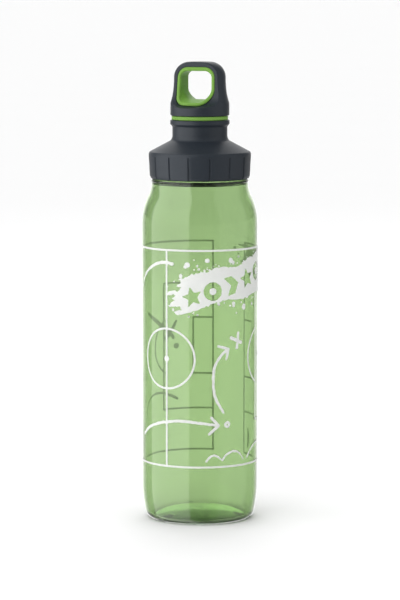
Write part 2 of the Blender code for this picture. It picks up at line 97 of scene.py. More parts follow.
# Carrying loop
WAIST_R = 16.0
WAIST_Z = CAP_TOP - 9.5
FLARE_R = 69.0
FLARE_LOW = CAP_Z + 7.9
TOP_ROUND = 9.5
FACE_Y = 6.8
SCOOP_R = 9.0
SHELF_Z = CAP_Z + 5.9
HOLE_HALF = 12.0
HOLE_LOW = CAP_Z + 8.0
HOLE_HIGH = CAP_TOP - 3.1
TOP_CORNER, WIDE_CORNER, TIGHT_CORNER = 6.5, 9.5, 4.5

# ---------------------------------------------------------------- meshes


def mesh_piece(name, points, faces, material, body, nodes=()):
    """Makes a smooth-shaded mesh object from points in millimetres and lists of faces, rides it on its
    body and lets it stand for its CAD nodes."""
    mesh = bpy.data.meshes.new(name)
    mesh.from_pydata((points * 0.001).tolist(), [], faces)
    mesh.update()
    mesh.shade_smooth()
    obj = bpy.data.objects.new(name, mesh)
    bpy.context.scene.collection.objects.link(obj)
    mesh.materials.append(material)
    if nodes:
        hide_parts(*nodes)
    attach(obj, body)
    return obj


def grid_faces(rows, columns, wrap_rows, wrap_columns):
    """Index quads of a grid of rows by columns, joined end to end in the directions that wrap."""
    i = np.arange(rows if wrap_rows else rows - 1)[:, None]
    j = np.arange(columns if wrap_columns else columns - 1)[None, :]
    i2, j2 = (i + 1) % rows, (j + 1) % columns
    quads = np.stack([i * columns + j, i * columns + j2, i2 * columns + j2, i2 * columns + j], -1)
    return quads.reshape(-1, 4)


def signed_volume(points, quads):
    """Volume inside a closed mesh of quads, negative where its faces point inwards."""
    a, b, c, d = (points[quads[:, k]] for k in range(4))
    return (np.cross(a, b) * c).sum() + (np.cross(a, c) * d).sum()


def closed_grid(grid):
    """Points and outward faces of a grid that wraps both ways."""
    rows, columns, _ = grid.shape
    points = grid.reshape(-1, 3)
    quads = grid_faces(rows, columns, True, True)
    if signed_volume(points, quads) < 0:
        quads = quads[:, ::-1]
    return points, quads.tolist()


def capped_grid(grid):
    """Points and outward faces of a grid that wraps along its rows only. Its first and last row lie on
    the axis, and each becomes one point with a fan of triangles."""
    rows, columns, _ = grid.shape
    inner = grid[1:-1].reshape(-1, 3)
    points = np.concatenate([inner, grid[0, :1], grid[-1, :1]])
    quads = grid_faces(rows - 2, columns, False, True)
    j = np.arange(columns)
    first, last = len(inner), len(inner) + 1
    base = (rows - 3) * columns
    start = np.stack([np.full(columns, first), (j + 1) % columns, j], -1)
    end = np.stack([np.full(columns, last), base + j, base + (j + 1) % columns], -1)
    whole = np.concatenate([start[:, [0, 0, 1, 2]], end[:, [0, 0, 1, 2]], quads])
    if signed_volume(points, whole) < 0:
        quads, start, end = quads[:, ::-1], start[:, ::-1], end[:, ::-1]
    return points, start.tolist() + end.tolist() + quads.tolist()


def rounded(corners, spacing=0.6):
    """A fine profile through corners of (r, z, round): straight runs joined by tangent arcs of each
    corner's round, with points about spacing apart on the runs and every 9 degrees on the arcs."""
    corners = np.array(corners, float)
    points = [corners[0, :2]]
    for before, here, after in zip(corners, corners[1:], corners[2:]):
        into, out = here[:2] - before[:2], after[:2] - here[:2]
        into, out = into / np.hypot(*into), out / np.hypot(*out)
        turn = math.atan2(into[0] * out[1] - into[1] * out[0], into @ out)
        radius = here[2]
        if radius < 1e-6 or abs(turn) < 1e-4:
            points.append(here[:2])
            continue
        start = here[:2] - into * radius * math.tan(abs(turn) / 2)
        side = math.copysign(1.0, turn)
        centre = start + side * radius * np.array([-into[1], into[0]])
        sweep = np.linspace(0, turn, max(3, math.ceil(abs(math.degrees(turn)) / 9) + 1))
        arm = start - centre
        across = np.array([-arm[1], arm[0]])
        points += list(centre + np.outer(np.cos(sweep), arm) + np.outer(np.sin(sweep), across))
    points.append(corners[-1, :2])
    fine = [np.array(points[:1])]
    for a, b in zip(points, points[1:]):
        steps = max(1, math.ceil(np.hypot(*(b - a)) / spacing))
        share = np.linspace(0, 1, steps + 1)[1:, None]
        fine.append(a + (b - a) * share)
    return np.concatenate(fine)


def thinned(profile, fine):
    """The profile with only every fourth point of its straight runs kept where fine is false."""
    way = np.diff(profile, axis=0)
    way = way / np.hypot(*way.T)[:, None]
    bend = np.zeros(len(profile), bool)
    bend[1:-1] = (way[1:] * way[:-1]).sum(1) < 0.99999
    bend |= np.roll(bend, 1) | np.roll(bend, -1)
    keep = fine | bend | (np.arange(len(profile)) % 4 == 0)
    keep[0] = keep[-1] = True
    return profile[keep]


def rise(x, low, high):
    """0 below low, 1 above high, and a smooth cubic between."""
    t = np.clip((x - low) / (high - low), 0, 1)
    return t * t * (3 - 2 * t)


def turned(profile, angles, shift=None):
    """Grid of a profile of (r, z) turned to the given angles. shift(r, z, angle), a function of whole
    arrays, gives how far each point moves outwards and upwards."""
    r, z = profile[:, :1], profile[:, 1:]
    a = np.asarray(angles)[None, :]
    r, z, a = np.broadcast_arrays(r, z, a)
    if shift:
        out, up = shift(r, z, a)
        r, z = r + out, z + up
    return np.stack([r * np.cos(a), r * np.sin(a), z], -1)


def ridge(z, angle, low_z, turns, lead, depth):
    """Height of a right-handed thread ridge above its wall. The nearest turn of the helix
    z = low + lead * turn gives the axial distance, a rounded trapezoid turns it into a height, and the
    ridge fades out over a seventh of a turn at both ends."""
    share = (angle / (2 * np.pi)) % 1.0
    turn = np.round((z - low_z) / lead - share) + share
    off = np.abs(z - low_z - lead * turn)
    body = rise(0.92 * depth - off, 0.0, 0.56 * depth)
    ends = rise(turn, -0.02, 0.12) * rise(turns - turn, -0.02, 0.12)
    return depth * body * ends


# ---------------------------------------------------------------- shader tools


class Graph:
    """A node tree to which nodes are added by type, settings and sockets."""

    def __init__(self, tree):
        self.tree = tree

    def node(self, kind, settings=None, sockets=None, out=0):
        """Adds a node, sets its settings, then fills its sockets with values or links."""
        made = self.tree.nodes.new(kind)
        for key, value in (settings or {}).items():
            setattr(made, key, value)
        for key, value in (sockets or {}).items():
            if isinstance(value, Socket):
                self.tree.links.new(value.socket, made.inputs[key])
            else:
                made.inputs[key].default_value = value
        return Socket(self, made.outputs[out])

    def mix(self, factor, a, b, kind="MIX"):
        """Mixes two colours, each a socket or three numbers."""
        colours = [c if isinstance(c, Socket) else (*c, 1.0) for c in (a, b)]
        settings = {"data_type": "RGBA", "blend_type": kind}
        return self.node("ShaderNodeMix", settings, {0: factor, 6: colours[0], 7: colours[1]}, 2)

    def noise(self, where, scale, detail=3.0, rough=0.55):
        """Noise from 0 to 1."""
        sockets = {"Vector": where, "Scale": scale, "Detail": detail, "Roughness": rough}
        return self.node("ShaderNodeTexNoise", {"noise_dimensions": "3D"}, sockets)

    def place(self, stretch=(1.0, 1.0, 1.0)):
        """Object coordinates, scaled along each axis."""
        where = self.node("ShaderNodeTexCoord", out=3)
        return self.node("ShaderNodeMapping", None, {"Vector": where, "Scale": stretch})

    def parts(self, vector):
        """The three components of a vector."""
        made = self.node("ShaderNodeSeparateXYZ", None, {0: vector}).socket.node
        return [Socket(self, output) for output in made.outputs]

    def ramp(self, value, low, high):
        """0 below low, 1 above high, smooth between."""
        sockets = {"Value": value, "From Min": low, "From Max": high}
        return self.node("ShaderNodeMapRange", {"interpolation_type": "SMOOTHSTEP"}, sockets)

    def bump(self, height, strength, distance, normal=None):
        """A normal tilted by a height, on top of another bump where one is given."""
        sockets = {"Height": height, "Strength": strength, "Distance": distance}
        if normal:
            sockets["Normal"] = normal
        return self.node("ShaderNodeBump", None, sockets)


class Socket:
    """An output socket. Operators on it add Math nodes."""

    def __init__(self, graph, socket):
        self.graph, self.socket = graph, socket

    def math(self, operation, a, b):
        return self.graph.node("ShaderNodeMath", {"operation": operation}, {0: a, 1: b})

    def __add__(self, other):
        return self.math("ADD", self, other)

    __radd__ = __add__

    def __sub__(self, other):
        return self.math("SUBTRACT", self, other)

    def __rsub__(self, other):
        return self.math("SUBTRACT", other, self)

    def __mul__(self, other):
        return self.math("MULTIPLY", self, other)

    __rmul__ = __mul__


def principled(name, finish, volume=None):
    """A material with one Principled shader, whose inputs are given by finish, a function of the graph.
    volume is the colour and density that its inside absorbs light with."""
    made = bpy.data.materials.new(name)
    made.use_nodes = True
    tree = made.node_tree
    tree.nodes.clear()
    graph = Graph(tree)
    shader = graph.node("ShaderNodeBsdfPrincipled", None, finish(graph))
    out = tree.nodes.new("ShaderNodeOutputMaterial")
    tree.links.new(shader.socket, out.inputs["Surface"])
    if volume:
        colour, density = volume
        sockets = {"Color": (*colour, 1.0), "Density": density}
        absorb = graph.node("ShaderNodeVolumeAbsorption", None, sockets)
        tree.links.new(absorb.socket, out.inputs["Volume"])
    return made


NOTCH_ANGLES = np.radians([1.0, 121.0, 241.0])
NOTCH_R = 28.0


def clear_green(graph):
    """Tinted clear plastic: a slow drift of tint, the faint flow waves of a blown wall, a lighter tint in
    the thin base that is painted light against the shadowed floor seen through it, and painted shade
    over the drain notches."""
    drift = graph.noise(graph.place((14.0, 14.0, 5.0)), 1.0, 2.0)
    waves = graph.noise(graph.place((26.0, 26.0, 7.0)), 1.0, 2.0, 0.4)
    haze = graph.noise(graph.place(), 420.0, 3.0)
    tint = graph.mix(drift, (0.604, 0.718, 0.498), (0.644, 0.748, 0.543))
    x, y, z = graph.parts(graph.place((1000.0, 1000.0, 1000.0)))
    # Painted light: the tint is lighter low in the thin base, to brighten the shadowed floor under the bottle
    # that shows through it
    inside = 1.0 - graph.ramp(x * x + y * y, 28.0**2, 29.5**2)
    tint = graph.mix((1.0 - graph.ramp(z, 6.5, 10.0)) * inside, tint, (0.68, 0.83, 0.60))
    clear = 1.0
    for angle in NOTCH_ANGLES:
        u, v = x - NOTCH_R * math.cos(angle), y - NOTCH_R * math.sin(angle)
        clear = graph.ramp(u * u + v * v, 3.4**2, 4.4**2) * clear
    # Painted shade: the plastic's colour is darkened over the drain notches
    cut = (1.0 - clear) * (1.0 - graph.ramp(z, 3.0, 4.2))
    return {
        "Base Color": graph.mix(cut, tint, (0.22, 0.30, 0.21)),
        "Roughness": 0.015 + haze * 0.035,
        "IOR": 1.52,
        "Transmission Weight": 1.0,
        "Normal": graph.bump(waves, 0.10, 0.004),
    }


def dark_plastic(graph):
    """Satin slate-coloured moulded plastic: fine spark-eroded grain, with a slow drift of tone."""
    drift = graph.noise(graph.place(), 34.0, 3.0)
    grain = graph.noise(graph.place(), 2600.0, 2.0, 0.6)
    flow = graph.noise(graph.place((60.0, 60.0, 240.0)), 1.0, 2.0)
    tone = graph.mix(drift, (0.0135, 0.0192, 0.0268), (0.0175, 0.0245, 0.0340))
    speck = graph.ramp(grain, 0.62, 0.80)
    return {
        "Base Color": graph.mix(speck * 0.30, tone, (0.038, 0.046, 0.055)),
        "Roughness": 0.36 + grain * 0.12 + flow * 0.08,
        "Specular IOR Level": 0.40,
        "Normal": graph.bump(grain, 0.16, 0.0002, graph.bump(flow, 0.05, 0.0006)),
    }


def soft_green(graph):
    """Green soft-touch plastic, a little mottled, with a fine matt grain."""
    drift = graph.noise(graph.place(), 60.0, 3.0)
    grain = graph.noise(graph.place(), 3200.0, 2.0, 0.6)
    return {
        "Base Color": graph.mix(drift, (0.150, 0.315, 0.050), (0.182, 0.365, 0.064)),
        "Roughness": 0.42 + grain * 0.16,
        "Specular IOR Level": 0.22,
        "Subsurface Weight": 0.12,
        "Subsurface Radius": (0.6, 1.0, 0.3),
        "Subsurface Scale": 0.0012,
        "Normal": graph.bump(grain, 0.14, 0.0002),
    }


def white_ink(graph):
    """Screen-printed white ink: nearly opaque, with the faint mesh mark of the screen."""
    cover = graph.noise(graph.place(), 240.0, 4.0, 0.6)
    mesh_mark = graph.noise(graph.place((1900.0, 1900.0, 1900.0)), 1.0, 1.0)
    return {
        "Base Color": graph.mix(cover, (0.94, 0.94, 0.945), (0.98, 0.98, 0.98)),
        "Roughness": 0.38 + mesh_mark * 0.16,
        "Subsurface Weight": 0.5,
        "Subsurface Radius": (1.0, 1.0, 1.0),
        "Subsurface Scale": 0.0006,
        "Normal": graph.bump(mesh_mark, 0.10, 0.0002),
    }


def pale_silicone(graph):
    """Pale washer silicone with a dusty sheen."""
    dust = graph.noise(graph.place(), 300.0, 4.0)
    return {
        "Base Color": graph.mix(dust, (0.62, 0.66, 0.64), (0.74, 0.77, 0.75)),
        "Roughness": 0.48 + dust * 0.2,
        "Subsurface Weight": 0.2,
        "Subsurface Radius": (1.0, 1.0, 1.0),
        "Subsurface Scale": 0.002,
        "Normal": graph.bump(dust, 0.12, 0.0003),
    }


def pale_floor(graph):
    """A matt white sweep with a trace of unevenness."""
    drift = graph.noise(graph.place(), 3.0, 2.0)
    return {
        "Base Color": graph.mix(drift, (0.925, 0.925, 0.925), (0.935, 0.935, 0.935)),
        "Roughness": 0.75 + drift * 0.1,
        "Specular IOR Level": 0.12,
    }


CLEAR = principled("clear green plastic", clear_green, ((0.45, 0.72, 0.22), 110.0))
DARK = principled("dark satin plastic", dark_plastic)
GREEN = principled("green soft plastic", soft_green)
INK = principled("white screen ink", white_ink)
SILICONE = principled("pale silicone", pale_silicone)

# ---------------------------------------------------------------- bottle

WALL = 1.8
HEEL_R, HEEL_Z = 84.0, 22.0
SHOULDER_Z = 185.0
CONVEX_R, CONCAVE_R = 38.0, 17.0
DOME_POWER = 2.4


def arc_points(centre_r, centre_z, radius, start, end, steps):
    """Points on an arc in the profile's plane, from angle start to end in degrees."""
    angles = np.radians(np.linspace(start, end, steps + 1))
    return np.stack([centre_r + radius * np.cos(angles), centre_z + radius * np.sin(angles)], -1)


def shoulder(inset, steps):
    """Two arcs that bend the wall in to the neck: the first curves inwards, the second out again."""
    half = math.degrees(math.acos(1 - (BODY_R - NECK_R) / (CONVEX_R + CONCAVE_R)))
    low = arc_points(BODY_R - CONVEX_R, SHOULDER_Z, CONVEX_R - inset, 0, half, steps)
    high = arc_points(NECK_R + CONCAVE_R, NECK_Z, -CONCAVE_R - inset, half, 0, steps)
    return np.concatenate([low, high[1:]])


def heel(inset, lowest, corner, steps):
    """The slow curve above the base and the round of its corner, from the bottom up."""
    radius = HEEL_R - inset
    wall = BODY_R - inset
    reach = radius - corner
    angle = math.degrees(math.asin((HEEL_Z - lowest - corner) / reach))
    corner_r = wall - radius + reach * math.cos(math.radians(angle))
    low = arc_points(corner_r, lowest + corner, corner, -90, -angle, steps)
    high = arc_points(wall - radius, HEEL_Z, radius, -angle, 0, steps)
    return np.concatenate([low, high[1:]]), corner_r


def bottle_profile():
    """The bottle's section from the middle of the underside, round the outside and down the inside. The
    hollow under the base and the floor inside are domes that fall by a power of the radius."""
    outside, corner_r = heel(0.0, 0.0, 5.0, 14)
    hollow_r = corner_r - 2.0
    hollow_t = np.linspace(0, 1, 30)
    under = np.stack([hollow_r * hollow_t, 4.6 * (1 - hollow_t**DOME_POWER)], -1)
    step = rounded([tuple(under[-4]) + (0,), (hollow_r, 0.0, 0.6), (corner_r, 0.0, 0)], 0.35)
    wall = np.stack([np.full(10, BODY_R), np.linspace(HEEL_Z, SHOULDER_Z, 12)[1:-1]], -1)
    neck = rounded(
        [
            (NECK_R, NECK_Z, 0),
            (NECK_R, NECK_Z + 0.6, 0.4),
            (NECK_R + 0.35, NECK_Z + 0.9, 0.3),
            (NECK_R + 0.35, LEDGE_Z, 0.5),
            (FINISH_R, LEDGE_Z, 0.4),
            (FINISH_R, RIM_Z, 0.5),
            (BORE_R, RIM_Z, 0.7),
            (BORE_R, NECK_Z + 3.4, 2.0),
            (NECK_R - WALL, NECK_Z, 3.0),
            (NECK_R - WALL - 0.05, NECK_Z - 1.0, 0),
        ],
        0.26,
    )
    keep = (neck[:, 0] > BORE_R + 0.05) | (np.arange(len(neck)) % 4 == 0)
    base = 2.0
    inner, inner_r = heel(WALL, base, 3.4, 10)
    inner_wall = np.stack([np.full(8, BODY_R - WALL), np.linspace(SHOULDER_Z, HEEL_Z, 10)[1:-1]], -1)
    floor_t = np.linspace(1, 0, 30)
    floor = np.stack([inner_r * floor_t, base + 4.95 * (1 - floor_t**DOME_POWER)], -1)
    parts = [under[:-3], step[1:], outside[1:], wall, shoulder(0.0, 14), neck[keep][1:-2]]
    parts += [shoulder(WALL, 10)[::-1], inner_wall, inner[::-1], floor[1:]]
    return np.concatenate(parts)


def from_notch(angles):
    """How far each angle is from the nearest drain notch, in radians."""
    return np.abs((angles[..., None] - NOTCH_ANGLES + np.pi) % (2 * np.pi) - np.pi).min(-1)


def bottle_shift(r, z, a):
    """The mouth's thread outside, and three drain notches with rounded sides lifted into the foot ring."""
    on_mouth = (np.abs(r - FINISH_R) < ON_WALL) & (z > LEDGE_Z)
    thread = ridge(z, a, MOUTH_THREAD_Z, LID_TURNS, LID_LEAD, LID_RIDGE)
    height = 1.8
    notch = height * (1 - rise(from_notch(a) * r, 2.5, 3.3))
    foot = (z < height) & (r > 20.0)
    return np.where(on_mouth, thread, 0.0), np.where(foot, np.maximum(notch - z, 0.0), 0.0)


def bottle_angles():
    """Angles round the bottle: even, with more of them at the drain notches."""
    even = np.linspace(0, 2 * np.pi, 252, endpoint=False)
    reach = 0.135
    near = (NOTCH_ANGLES[:, None] + np.linspace(-reach, reach, 19)[None, :]).ravel() % (2 * np.pi)
    return np.sort(np.concatenate([even[from_notch(even) > reach + 0.01], near]))


points, faces = capped_grid(turned(bottle_profile(), bottle_angles(), bottle_shift))
mesh_piece("bottle_wall", points, faces, CLEAR, "bottle", ["bottle_body"])

# ---------------------------------------------------------------- print

# Places on the wall are (s, z): millimetres round it, anticlockwise from above, from the side that faces
# the camera, and height. Marks are placed by degrees in the same sense.
VIEW_TURN = 20.0  # degrees from -Y to that side
INK_Z = (34.0, 176.0)
COLUMNS = 640
CELL = GIRTH / COLUMNS
MM_PER_DEGREE = GIRTH / 360.0
HALFWAY = -34.5  # degrees
GOAL_SPAN = 159.4  # degrees from the halfway line to each goal line
FAR_OUTSIDE = -99.0
LINE_HALF = 0.60


def lattice_noise(s, z, size, seed):
    """Smooth noise from -1 to 1: seeded values on a lattice of the given size, blended by cubics. It
    repeats after one turn of the bottle."""
    around = round(GIRTH / size)
    values = np.random.default_rng(seed).uniform(-1, 1, (around, 512))
    u = (s / GIRTH * around) % around
    v = z / size + 100.0
    i, j = np.floor(u).astype(int), np.floor(v).astype(int)
    fu, fv = rise(u - i, 0, 1), rise(v - j, 0, 1)
    i2, j2 = (i + 1) % around, (j + 1) % 512
    i, j = i % around, j % 512
    low = values[i, j] * (1 - fu) + values[i2, j] * fu
    high = values[i, j2] * (1 - fu) + values[i2, j2] * fu
    return low * (1 - fv) + high * fv


def away_from(s, centre):
    """How far s is past a place given in degrees, the short way round, in millimetres."""
    return (s - centre * MM_PER_DEGREE + GIRTH / 2) % GIRTH - GIRTH / 2


def segment(s, z, a, b):
    """Distance from (s, z) to the straight stroke from a to b, and how far along it the nearest place is.
    a and b are (degrees, mm)."""
    x, y = away_from(s, a[0]), z - a[1]
    dx = (b[0] - a[0]) * MM_PER_DEGREE
    dy = b[1] - a[1]
    t = np.clip((x * dx + y * dy) / (dx * dx + dy * dy), 0, 1)
    return np.hypot(x - t * dx, y - t * dy), t


def stroke(s, z, places, widths):
    """How far inside a painted stroke a point is. The stroke's smooth middle line passes through the
    places, and its half width goes evenly through widths."""
    places = np.array(places, float)
    along = np.linspace(0, len(places) - 1, 10 * (len(places) - 1) + 1)
    knots = np.arange(len(places))
    line = np.stack([smooth_curve(along, knots, places[:, k]) for k in (0, 1)], -1)
    halves = np.interp(along, np.linspace(0, len(places) - 1, len(widths)), widths)
    inside = np.full(s.shape, FAR_OUTSIDE)
    margin = 3.0
    middle, half = (line.max(0) + line.min(0)) / 2, (line.max(0) - line.min(0)) / 2 + margin
    near = np.abs(away_from(s, middle[0])) < half[0] * MM_PER_DEGREE + margin
    near &= np.abs(z - middle[1]) < half[1]
    s, z, found = s[near], z[near], inside[near]
    for k in range(len(line) - 1):
        distance, t = segment(s, z, line[k], line[k + 1])
        found = np.maximum(found, halves[k] + (halves[k + 1] - halves[k]) * t - distance)
    inside[near] = found
    return inside


def smooth_curve(t, knots, values):
    """Cubic through the values, with the slope at each knot that of its two neighbours."""
    slopes = np.gradient(values)
    k = np.clip(np.floor(t).astype(int), 0, len(knots) - 2)
    u = t - k
    a, b, m, n = values[k], values[k + 1], slopes[k], slopes[k + 1]
    return (
        a * (2 * u**3 - 3 * u**2 + 1)
        + b * (3 * u**2 - 2 * u**3)
        + m * (u**3 - 2 * u**2 + u)
        + n * (u**3 - u**2)
    )


def bar(s, z, a, b, width=1.24):
    """How far inside a straight ruled line a point is."""
    return width / 2 - segment(s, z, a, b)[0]


def pitch_lines(s, z):
    """A sports pitch wrapped round the wall: touch lines, halfway line, circle, boxes and spots."""
    low, high, middle = 36.8, 170.7, 103.7
    field = GOAL_SPAN * MM_PER_DEGREE + LINE_HALF - np.abs(away_from(s, HALFWAY))
    parts = [np.minimum(LINE_HALF - np.abs(z - level), field) for level in (low, high)]
    parts.append(bar(s, z, (HALFWAY, low), (HALFWAY, high)))
    from_centre = np.hypot(away_from(s, HALFWAY), z - middle)
    parts += [1.75 - from_centre, 0.64 - np.abs(from_centre - 18.5)]
    for side in (-1, 1):
        goal = HALFWAY + side * GOAL_SPAN
        parts.append(bar(s, z, (goal, low), (goal, high)))
        for depth, reach in ((53.1 if side > 0 else 55.4, 40.25), (20.9, 18.0)):
            edge = goal - side * depth
            parts.append(bar(s, z, (edge, middle - reach), (edge, middle + reach)))
            parts.append(bar(s, z, (goal, middle - reach), (edge, middle - reach)))
            parts.append(bar(s, z, (goal, middle + reach), (edge, middle + reach)))
        spot = goal - side * 39.5
        around = np.hypot(away_from(s, spot), z - middle)
        beyond = -side * away_from(s, goal - side * 53.1)
        parts += [1.85 - around, np.minimum(LINE_HALF - np.abs(around - 18.9), beyond)]
    return np.maximum.reduce(parts)


THIN, FULL = (0.74, 0.88, 0.80), (0.78, 0.90, 0.84)

# Painted strokes: the places that each passes through, as (degrees, height), and its half widths
STROKES = (
    # A climbing arrow with its head, and a cross above it
    ([(23.8, 70.4), (16, 79), (13.3, 87), (14.2, 98), (20, 105), (28, 109.6)], FULL),
    ([(18.4, 111.8), (28.5, 109.8)], THIN),
    ([(26.9, 103.8), (28.9, 110.0)], THIN),
    ([(32.4, 116.6), (44.6, 113.2)], (1.15, 1.05, 1.0)),
    ([(40.8, 119.3), (39.2, 110.4)], (0.85, 0.95, 1.1)),
    # An arrow that runs round the wall, with its head
    (
        [(-71.8, 54.3), (-60.7, 59), (-45.8, 62.7), (-34.5, 64.2), (-19.7, 65.4), (-2.6, 64.5), (17.5, 62.8)],
        FULL,
    ),
    ([(11.2, 67.6), (18.6, 62.6)], THIN),
    ([(9.2, 57.6), (18.6, 62.6)], THIN),
    # Scribbles on the lower touch line
    ([(6.3, 40.6), (10.4, 43.4), (15.8, 43.9), (22.4, 40.9)], (0.7, 0.66, 0.5)),
    ([(22.4, 40.9), (27.0, 44.2), (35.0, 46.0), (41.5, 44.8), (47.7, 40.6)], (0.6, 0.7, 0.4)),
    ([(53.6, 40.9), (60, 45.2), (70, 48.2), (83, 49.2)], (0.5, 0.6, 0.4)),
    # A sweep under the upper touch line
    (
        [(-27.9, 162.3), (-36, 163.1), (-46, 162.0), (-56, 159.3), (-65, 155.6), (-73, 150.8), (-77, 146.2)],
        (1.0, 0.95, 0.8, 0.35),
    ),
    # The far side: a cross, a hook and a dab
    ([(-107, 127.1), (-125, 121.2), (-143, 114.1), (-151, 109.4)], (0.9, 1.4, 1.5, 1.2)),
    ([(-154, 119.5), (-149, 114.2), (-141.5, 108.8)], (0.8, 1.2, 1.4)),
    (
        [(-102, 61.0), (-106, 69.0), (-117, 73.6), (-132, 74.6), (-145, 72.8), (-155, 69.9)],
        (0.4, 0.7, 0.8, 1.0),
    ),
    ([(117, 53), (115.5, 47), (117.5, 41)], (0.5, 1.6, 0.5)),
)


def play_marks(s, z):
    """Hand-painted tactics: the strokes and one small ring, with rough edges."""
    rough = 0.20 * lattice_noise(s, z, 1.1, 3) + 0.12 * lattice_noise(s, z, 0.5, 4)
    parts = [stroke(s, z, places, widths) for places, widths in STROKES]
    ring = np.abs(np.hypot(away_from(s, 27.9), z - 63.0) - 1.3)
    parts.append(0.82 - ring)
    return np.maximum.reduce(parts) + rough


# The band's upper and lower edge, as (degrees, height)
BANNER_TOP = (
    (-38, 148.5), (-26, 151.0), (-18.4, 153.6), (0.4, 156.9), (16, 159.9), (33, 160.9),
    (45, 161.6), (60, 165.3), (82, 169.0), (104, 169.4), (126, 170.0), (142, 168.5),
)
BANNER_LOW = (
    (-38, 143.5), (-31, 134.6), (-21.5, 130.6), (0.4, 135.7), (15, 138.7), (33, 140.3),
    (48, 139.9), (56, 141.3), (82, 144.0), (104, 147.5), (126, 155.5), (142, 163.0),
)


def banner(s, z):
    """A brushed band that climbs round the wall: ragged bristle ends, dry scratches along the stroke and
    spatter. A row of plain shapes is left clear in it."""
    degrees = ((s + GIRTH / 4) % GIRTH - GIRTH / 4) / MM_PER_DEGREE
    top = np.interp(degrees, *np.array(BANNER_TOP, float).T)
    low = np.interp(degrees, *np.array(BANNER_LOW, float).T)
    along = s * 0.985 + z * 0.17
    across = z - s * 0.17
    bristle = lattice_noise(along * 0.35, across + 40, 1.5, 11)
    coarse = lattice_noise(s, z, 5.0, 12)
    fine = lattice_noise(s, z, 1.3, 13)
    ends = rise(-degrees, 12.0, 28.0) + rise(degrees, 108.0, 134.0)
    edge = np.minimum(top - z, z - low) + 0.9 * coarse + 0.5 * fine
    sides = np.minimum(degrees + 31.5, 137.0 - degrees) * MM_PER_DEGREE
    tips = sides - 7.0 * bristle - 1.0
    inside = np.minimum(edge, tips)
    dry = 1.3 - 1.75 * ends - bristle * (0.75 + 1.1 * ends) + 0.35 * fine
    inside = np.minimum(inside, dry * 1.4)
    nicks = lattice_noise(s, z, 2.1, 17)
    inside = np.minimum(inside, (0.72 - nicks + 0.25 * np.clip(edge, 0, 3)) * 1.6)
    return np.maximum(np.minimum(inside, -knocked_out(s, z)), spatter(s, z))


def knocked_out(s, z):
    """How far inside a row of plain shapes a point is: five-pointed stars, rings and chevrons. A star's
    edges are folded onto one, the line from a tip to the dent beside it."""
    tilt = math.radians(15.0)
    tip, dent = 6.5, 3.1
    edge = np.array([dent * math.sin(math.pi / 5), tip - dent * math.cos(math.pi / 5)])
    edge = edge / np.hypot(*edge)
    parts = []
    for k in range(6):
        x, y = away_from(s, 20.3 * k - 7.5), z - (142.2 + 3.45 * k)
        u, v = x * math.cos(tilt) + y * math.sin(tilt), y * math.cos(tilt) - x * math.sin(tilt)
        radius = np.hypot(u, v)
        if k % 3 == 0:
            fold = np.abs((np.arctan2(u, v) * 2.5 / math.pi + 0.5) % 1.0 - 0.5) * 0.4 * math.pi
            parts.append((tip - radius * np.cos(fold)) * edge[0] - radius * np.sin(fold) * edge[1])
        elif k % 3 == 1:
            parts.append(np.minimum(5.7 - radius, radius - 2.2))
        else:
            bend = (u + 0.7 * np.abs(v) - 2.2) * 0.82
            parts.append(np.minimum(5.6 - np.abs(v), 2.3 - np.abs(bend)))
    return np.maximum.reduce(parts) + 0.16 * lattice_noise(s, z, 0.9, 19)


# The larger drops of the spatter, as (degrees, height, radius)
DROPS = (
    (-12.5, 162.0, 1.7), (-14.4, 160.7, 1.0), (7.2, 164.7, 1.6), (31.6, 164.3, 1.5),
    (34.6, 162.8, 1.0), (41.0, 166.5, 0.7), (35.0, 137.8, 1.2), (35.2, 136.1, 0.9),
    (48.4, 135.1, 1.7), (38.5, 131.7, 0.6), (62.5, 136.3, 0.9), (-29.1, 137.1, 0.8),
    (-27.0, 134.2, 0.8), (-5.9, 165.0, 0.5), (-2.6, 161.5, 0.7), (-5.5, 159.1, 0.5),
    (-1.2, 159.4, 0.7), (44.9, 138.0, 0.5), (124.0, 152.0, 0.9), (131.0, 156.0, 0.6),
)


def spatter(s, z):
    """Drops thrown off the band: the larger ones, and seeded fine ones along its edges."""
    drops = list(DROPS)
    rng = np.random.default_rng(29)
    for _ in range(64):
        degrees = rng.uniform(-30, 140)
        above = rng.uniform() < 0.5
        line = np.array(BANNER_TOP if above else BANNER_LOW, float).T
        height = np.interp(degrees, *line) + (1 if above else -1) * abs(rng.normal(0, 1.7))
        drops.append((degrees, min(height, 169.0), 0.22 + rng.exponential(0.20)))
    inside = np.full(s.shape, FAR_OUTSIDE)
    for degrees, height, radius in drops:
        squash = rng.uniform(0.8, 1.15)
        near = (np.abs(away_from(s, degrees)) < 4.0) & (np.abs(z - height) < 4.0)
        around = np.hypot(away_from(s[near], degrees), (z[near] - height) * squash)
        inside[near] = np.maximum(inside[near], min(radius, 1.9) - around)
    return inside + 0.22 * lattice_noise(s, z, 1.0, 31)


def ink_cover(s, z):
    """How far inside the ink a point of the wall is, in millimetres, negative outside."""
    return np.maximum.reduce([pitch_lines(s, z), play_marks(s, z), banner(s, z)])


